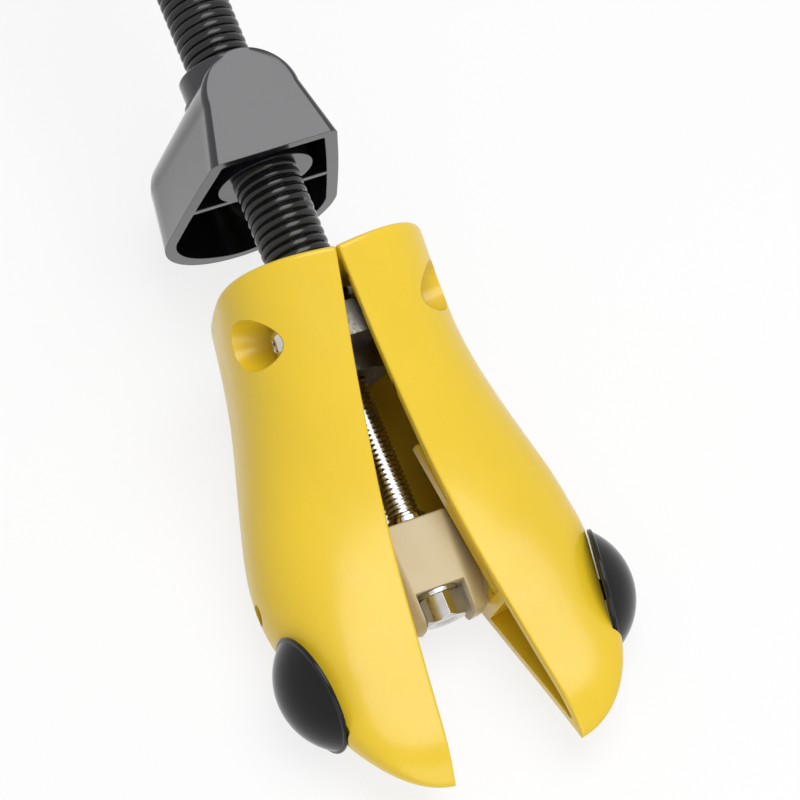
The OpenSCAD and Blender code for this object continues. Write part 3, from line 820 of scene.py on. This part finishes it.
@dataclass
class TieScrew:
    """A tie screw with its cross recess and its closing spring."""

    side: Side
    x: float = 15.0
    z: float = 20.0
    shank: float = 4.0
    head_d: float = 9.2
    head_t: float = 2.8
    head_y: float = 17.0
    end_y: float = 1.3

    def across(self, points: np.ndarray) -> np.ndarray:
        """Mirrors points for the right side."""
        out = np.array(points, float)
        out[..., 1] *= self.side.value
        return out

    def build(self) -> bpy.types.Object:
        """Makes the screw."""
        side = self.side.name.lower()
        r, t, y = self.head_d / 2, self.head_t, self.head_y
        outline = rounded([(0, self.end_y), (self.shank / 2, self.end_y), (self.shank / 2, y),
                           (r, y), (r, y + 0.4 * t), (0.62 * r, y + t), (0, y + t)],
                          [0, 0.4, 0, 0.2, 1.0, 1.4, 0])
        screw = lathe(f"tie_screw_steel_{side}", outline, (self.x, 0, self.z), (0, 1, 0), 72,
                      self.across)
        for turn in (20, 110):
            a = math.radians(turn)
            u = np.array([math.cos(a), 0, math.sin(a)])
            v = np.array([-math.sin(a), 0, math.cos(a)])
            rings = []
            for depth, size in ((-1.7, 0.45), (0.5, 1.05)):
                c = np.array([self.x, y + t + depth, self.z])
                rings.append([c + u * 2.3 * size * p + v * 0.6 * q
                              for p, q in ((-1, -1), (1, -1), (1, 1), (-1, 1))])
            cut(screw, loft("cross", self.across(np.array(rings))))
        soften(screw)
        dress(screw, coat(Finish.STEEL), "frame", f"tie_screw_{side}", f"tie_screw_{side}")
        return screw


@dataclass
class HeelBlock:
    """The hollow heel block with a flat tombstone top, a boss and two ribs."""

    gap: float = 35.2
    length: float = 29.2
    top_half: float = 17.6
    half: float = 25.2
    top: float = 20.0
    drop: float = 56.2
    wide_drop: float = 30.0
    wall: float = 3.2
    edge: float = 2.4
    straight: float = 16.6
    taper: float = 0.75
    low_taper: float = 0.9
    bulge: float = 0.4
    foot: float = 9.0
    boss_r: float = 13.2
    collar_r: float = 12.2
    collar_l: float = 3.5
    rib_drop: float = 10.5
    rib: float = 2.0
    bore: float = 8.6

    def turn(self, u: float) -> float:
        """Gives the share of the width left where the plan rounds at the back."""
        v = max(u - self.straight, 0) / (self.length - self.straight)
        return math.sqrt(max(1 - v * v, 0.0009))

    def share(self, u: float, z: float) -> float:
        """Gives the share of the width left.

        Args:
            u: Distance behind the open face.
            z: Height above the tube's centre line.

        Returns:
            The share, which shrinks less at the widest level than at the top.
        """
        level = min(max((self.top - z) / (self.top + self.wide_drop), 0), 1)
        left = self.taper + (self.low_taper - self.taper) * level
        return (1 - (1 - left) * min(u, self.straight) / self.straight) * self.turn(u)

    def section(self, u: float, inset: float, soft: float = 0.0) -> np.ndarray:
        """Draws a section of the block.

        Args:
            u: Distance behind the open face.
            inset: Wall that is taken off.
            soft: Further inset for a rounded rim.

        Returns:
            A closed ring of x, y, z.
        """
        top = self.top - inset - soft
        low = self.drop + u * math.tan(TUBE_TILT) - self.foot * (1 - self.turn(u)) - inset - soft
        r = self.edge if inset == 0 else 1.0
        side = [(0.0, top), (4.0, top), (9.0, top)]
        for k in range(9):
            a = math.pi / 2 * (1 - k / 8)
            side.append((self.top_half - r + r * math.cos(a), top - r + r * math.sin(a)))
        for k in range(1, 12):
            t = k / 12
            bulge = self.bulge * math.sin(math.pi * t)
            side.append((self.top_half + (self.half - self.top_half) * t + bulge,
                         top - r + (-self.wide_drop - top + r) * t))
        for k in range(25):
            a = math.pi / 2 * k / 24
            side.append((self.half * math.cos(a),
                         -self.wide_drop - (low - self.wide_drop) * math.sin(a)))
        ring = []
        for y, z in side:
            v = y * self.share(u, z)
            v = v - min(inset + soft, 0.3 * v)
            ring.append((-self.gap - u, v, z))
        return np.array(ring + [(x, -y, z) for x, y, z in ring[-2:0:-1]])

    def build(self) -> bpy.types.Object:
        """Makes the block."""
        back = self.length - self.straight
        stops = list(np.linspace(0, self.straight, 12)) + [
            self.straight + back * math.sin(math.pi / 2 * k / 22) for k in range(1, 23)]
        block = loft("heel_shell", np.array([self.section(u, 0) for u in stops]))
        inner = [-1.0] + [u * (1 - self.wall / self.length) for u in stops[1:]]
        hollow = loft("heel_hollow", np.array([self.section(u, self.wall) for u in inner]))
        x0 = -self.gap - self.length
        z0, t, w = -self.rib_drop, self.rib / 2, self.half
        rib = loft("rib", np.array([[(x, -w, z0 - t), (x, w, z0 - t), (x, w, z0 + t),
                                     (x, -w, z0 + t)] for x in (x0, -self.gap - 0.2)]))
        cut(hollow, rib)
        cut(block, hollow)
        deep = self.length - 0.1
        boss = lathe("boss", [(0, 4), (self.boss_r, 4), (self.boss_r, deep), (0, deep)],
                     (x0, 0, 0), (1, 0, 0), 96)
        outline = rounded([(0, 0), (self.collar_r, 0), (self.collar_r, 8), (0, 8)], [0, 0.8, 0, 0])
        collar = lathe("collar", outline, (x0 - self.collar_l, 0, 0), (1, 0, 0), 96)
        add(block, boss, collar)
        deep += self.collar_l + 2
        cut(block, lathe("bore", [(0, 0), (self.bore, 0), (self.bore, deep), (0, deep)],
                         (x0 - self.collar_l - 1, 0, 0), (1, 0, 0), 96))
        soften(block)
        dress(block, coat(Finish.BLACK), "heel", "heel_block", "heel_block")
        return block


@dataclass
class Spindle:
    """The steel spindle with its fine thread, its collar, washer and hex bolt."""

    radius: float = 4.3
    pitch: float = 1.37
    depth: float = 0.45
    thread_x: float = 11.0
    collar_x: float = 63.15
    back: float = -213.6
    journal: float = 3.5
    notch_x: float = 83.65
    collar_r: float = 5.3
    collar_t: float = 1.8
    flats: float = 10.8
    head_h: float = 6.6
    washer_r: float = 6.0
    washer_t: float = 1.2

    def crest(self, u: np.ndarray) -> np.ndarray:
        """Gives the fine thread's share of its depth."""
        return np.clip((0.5 - np.abs(u - 0.5)) * 2 * 1.25 - 0.08, 0, 1)

    def build(self) -> list:
        """Makes the spindle's pieces in front of the handle."""
        rod = threaded("spindle_screw", self.thread_x - 2, self.collar_x - 0.05, self.radius,
                       self.pitch, self.depth, 0.0, 0, 0.1, 96, self.crest,
                       (self.thread_x, self.collar_x - 0.4))
        shaft = lathe("shaft", rounded([(0, self.back), (self.radius - 0.05, self.back),
                                        (self.radius - 0.05, self.thread_x - 1.9),
                                        (0, self.thread_x - 1.9)], [0, 0.5, 0, 0]),
                      (0, 0, 0), (1, 0, 0), 72)
        add(rod, shaft)
        journal_end = self.notch_x
        add(rod, lathe("journal", [(0, self.collar_x - 1), (self.journal, self.collar_x - 1),
                                   (self.journal, journal_end), (0, journal_end)],
                       (0, 0, 0), (1, 0, 0), 72))
        soften(rod, math.radians(50))
        dress(rod, coat(Finish.STEEL), "spindle", "spindle_rod", "spindle_rod")
        j, c, t = self.journal + 0.05, self.collar_r, self.collar_t
        ring = rounded([(j, 0.0), (c, 0.0), (c, t), (j, t), (j, 0.0)],
                       [0, 0.6, 0.3, 0, 0])
        collar = lathe("spindle_push_collar", ring[:-1], (self.collar_x, 0, 0), (1, 0, 0), 72)
        soften(collar)
        dress(collar, coat(Finish.STEEL), "spindle", "spindle_collar", "spindle_collar")
        wx, w, wt = journal_end + 0.05, self.washer_r, self.washer_t
        ring = rounded([(3.05, 0.0), (w, 0.0), (w, wt), (3.05, wt)], [0, 0.2, 0.3, 0])
        washer = lathe("bolt_plain_washer", ring, (wx, 0, 0), (1, 0, 0), 72)
        soften(washer)
        dress(washer, coat(Finish.STEEL), "spindle", "bolt_washer", "bolt_washer")
        return [rod, collar, washer, self.bolt(wx + wt + 0.05)]

    def bolt(self, x: float) -> bpy.types.Object:
        """Makes the hex bolt's head and the short shank behind it.

        Args:
            x: Where the head starts.

        Returns:
            The bolt.
        """
        r, h = self.flats / 2, self.head_h
        corner = r / math.cos(math.pi / 6)
        turn = [math.pi / 3 * k + math.pi / 6 for k in range(6)]
        head = loft("wedge_hex_bolt", np.array([
            [(v, corner * math.cos(a), corner * math.sin(a)) for a in turn] for v in (x, x + h)]))
        bound = lathe("bound", [(0, 0), (r + 0.25, 0), (corner + 0.02, 0.35),
                                (corner + 0.02, h - 0.8), (r - 0.1, h), (3.2, h),
                                (2.6, h - 0.35), (0, h - 0.35)], (x, 0, 0), (1, 0, 0), 96)
        combine(head, "INTERSECT", bound)
        remove(bound)
        shank = lathe("shank", [(0, 0), (3, 0), (3, x - self.notch_x + 0.1),
                                (0, x - self.notch_x + 0.1)], (self.notch_x + 0.02, 0, 0), (1, 0, 0), 48)
        add(head, shank)
        soften(head, math.radians(28))
        dress(head, coat(Finish.STEEL), "spindle", "wedge_bolt", "wedge_bolt")
        return head


@dataclass
class Wedge:
    """The cream wedge with sloped sides, round corners and a notch for the bolt head."""

    x: float = 65.0
    length: float = 27.8
    half: float = 14.5
    toe_half: float = 11.9
    high: float = 13.0
    top_half: float = 8.0
    top_toe_half: float = 6.9
    corner: float = 4.0
    land: float = 0.75
    edge: float = 0.7
    notch: tuple = (9.2, 13.2)

    def ring(self, z: float) -> list:
        """Draws the wedge's outline at a height."""
        away = abs(z)
        t = max(away - self.land, 0) / (self.high / 2 - self.land)
        d = max(away - (self.high / 2 - self.edge), 0)
        inset = self.edge - math.sqrt(max(self.edge**2 - d * d, 0))
        back = self.half + (self.top_half - self.half) * t - inset
        toe = self.toe_half + (self.top_toe_half - self.toe_half) * t - inset
        l, r, e = self.length, self.corner, 0.5
        side = [(inset, 0.0), (inset, back - e), (inset + 0.15, back - 0.15), (inset + e, back)]
        side += [(l * k / 6, back + (toe - back) * k / 6) for k in range(1, 5)]
        side += [(l - r - inset + r * math.sin(a), toe - r + r * math.cos(a))
                 for a in np.linspace(0, math.pi / 2, 12)]
        side.append((l - inset, 0.0))
        return [(self.x + u, v, z) for u, v in side] + [
            (self.x + u, -v, z) for u, v in side[-2:0:-1]]

    def build(self) -> bpy.types.Object:
        """Makes the wedge."""
        top = self.high / 2
        rim = [top - self.edge * (1 - math.sin(a)) for a in np.linspace(0, math.pi / 2, 6)]
        up = [0.0, self.land, 2.0, 3.5, 5.0] + rim
        levels = [-v for v in up[:0:-1]] + up
        wedge = loft("cream_wedge", np.array([self.ring(z) for z in levels]))
        long, wide = self.notch
        x, w = self.x + self.length - long, wide / 2
        box = loft("notch", np.array([[(v, -w, -9), (v, w, -9), (v, w, 9), (v, -w, 9)]
                                      for v in (x, x + long + 2)]))
        bore = lathe("bore", [(0, -1), (3.55, -1), (3.55, 26), (0, 26)],
                     (self.x, 0, 0), (1, 0, 0), 72)
        cut(wedge, bore, box)
        soften(wedge, math.radians(30))
        dress(wedge, coat(Finish.CREAM), "wedge", "wedge_block", "wedge_block")
        return wedge


@dataclass
class Studio:
    """A pale floor and soft lamps."""

    level: float = 0.45

    def lamp(self, name: str, place: tuple, size: tuple, radiance: float,
             aim: tuple = (20, 0, 0)) -> None:
        """Adds a soft box lamp.

        Args:
            name: Name of the lamp.
            place: Its middle in the tube's frame.
            size: Its width and height in metres.
            radiance: Its brightness, where 1 is white.
            aim: The point that it faces, in the tube's frame.
        """
        data = bpy.data.lights.new(name, "AREA")
        data.shape = "RECTANGLE"
        data.size, data.size_y = size
        data.energy = radiance * math.pi * size[0] * size[1]
        lamp = bpy.data.objects.new(name, data)
        bpy.context.scene.collection.objects.link(lamp)
        at = Vector(to_stand(np.array(place, float)))
        to = Vector(to_stand(np.array(aim, float)))
        lamp.location = at
        lamp.rotation_euler = (to - at).to_track_quat("-Z", "Y").to_euler()

    def build(self) -> None:
        """Makes the floor, the world and the lamps."""
        world = bpy.data.worlds.new("studio")
        bpy.context.scene.world = world
        world.use_nodes = True
        tree = world.node_tree
        path = tree.nodes.new("ShaderNodeLightPath")
        seen = self.seen_directly(tree, path)
        strength = tree.nodes.new("ShaderNodeMapRange")
        strength.inputs["To Min"].default_value = self.level
        strength.inputs["To Max"].default_value = 1.0
        tree.links.new(seen, strength.inputs["Value"])
        tree.links.new(strength.outputs["Result"], tree.nodes["Background"].inputs["Strength"])
        tree.nodes["Background"].inputs["Color"].default_value = (1, 1, 1, 1)
        self.floor()
        self.lamp("overhead", (-190, 130, 700), (0.55, 0.55), 3.8, (-20, 0, 0))
        self.lamp("front", (520, -60, 420), (0.5, 0.4), 1.7)

    def seen_directly(self, tree, path) -> bpy.types.NodeSocket:
        """Adds up the rays that see the background itself."""
        total = path.outputs["Is Camera Ray"]
        for name in ("Is Glossy Ray", "Is Transmission Ray"):
            both = tree.nodes.new("ShaderNodeMath")
            both.operation = "MAXIMUM"
            tree.links.new(total, both.inputs[0])
            tree.links.new(path.outputs[name], both.inputs[1])
            total = both.outputs["Value"]
        return total

    def floor(self) -> None:
        """Makes the pale floor that keeps a faint shadow."""
        mesh = bpy.data.meshes.new("floor")
        s = 6.0
        mesh.from_pydata([(-s, -s, 0), (s, -s, 0), (s, s, 0), (-s, s, 0)], [], [(0, 1, 2, 3)])
        floor = bpy.data.objects.new("floor", mesh)
        bpy.context.scene.collection.objects.link(floor)
        paint = bpy.data.materials.new("pale_floor")
        paint.use_nodes = True
        tree = paint.node_tree
        shader = tree.nodes["Principled BSDF"]
        shader.inputs["Base Color"].default_value = (0.9, 0.9, 0.9, 1)
        shader.inputs["Roughness"].default_value = 0.9
        shader.inputs["Specular IOR Level"].default_value = 0.0
        path = tree.nodes.new("ShaderNodeLightPath")
        seen = self.seen_directly(tree, path)
        glow = tree.nodes.new("ShaderNodeEmission")
        glow.inputs["Strength"].default_value = 1.0
        mixed = tree.nodes.new("ShaderNodeMixShader")
        share = tree.nodes.new("ShaderNodeMath")
        share.operation = "MULTIPLY"
        share.inputs[1].default_value = 0.8
        tree.links.new(seen, share.inputs[0])
        tree.links.new(share.outputs["Value"], mixed.inputs["Fac"])
        tree.links.new(shader.outputs["BSDF"], mixed.inputs[1])
        tree.links.new(glow.outputs["Emission"], mixed.inputs[2])
        tree.links.new(mixed.outputs["Shader"], tree.nodes["Material Output"].inputs["Surface"])
        mesh.materials.append(paint)


REPAINTED = {"neck_hub": Finish.DULL, "spindle_nut": Finish.DULL, "hub_set_screw": Finish.STEEL,
             "tube_end_cap": Finish.BLACK, "handle_boss": Finish.BLACK,
             "handle_bar": Finish.STEEL, "handle_cap_left": Finish.GRIP,
             "handle_cap_right": Finish.GRIP, "handle_pin": Finish.STEEL,
             "tie_spring_left": Finish.STEEL, "tie_spring_right": Finish.STEEL}


def main() -> None:
    """Builds the stretcher piece by piece, then the studio."""
    logging.basicConfig(level=logging.INFO, format="%(message)s")
    bpy.context.scene.view_settings.view_transform = "Standard"
    Camera().build()
    for side in Side:
        half = ToeHalf(side)
        half.build()
        half.build_plug()
        TieScrew(side).build()
    ScrewTube().build()
    HeelBlock().build()
    Spindle().build()
    Wedge().build()
    for name, finish in REPAINTED.items():
        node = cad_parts[name]
        for holder in node.material_slots:
            holder.material = coat(finish)
        log.info("%s keeps its shape and gets its finish", name)
    Studio().build()


if __name__ == "__main__":
    main()
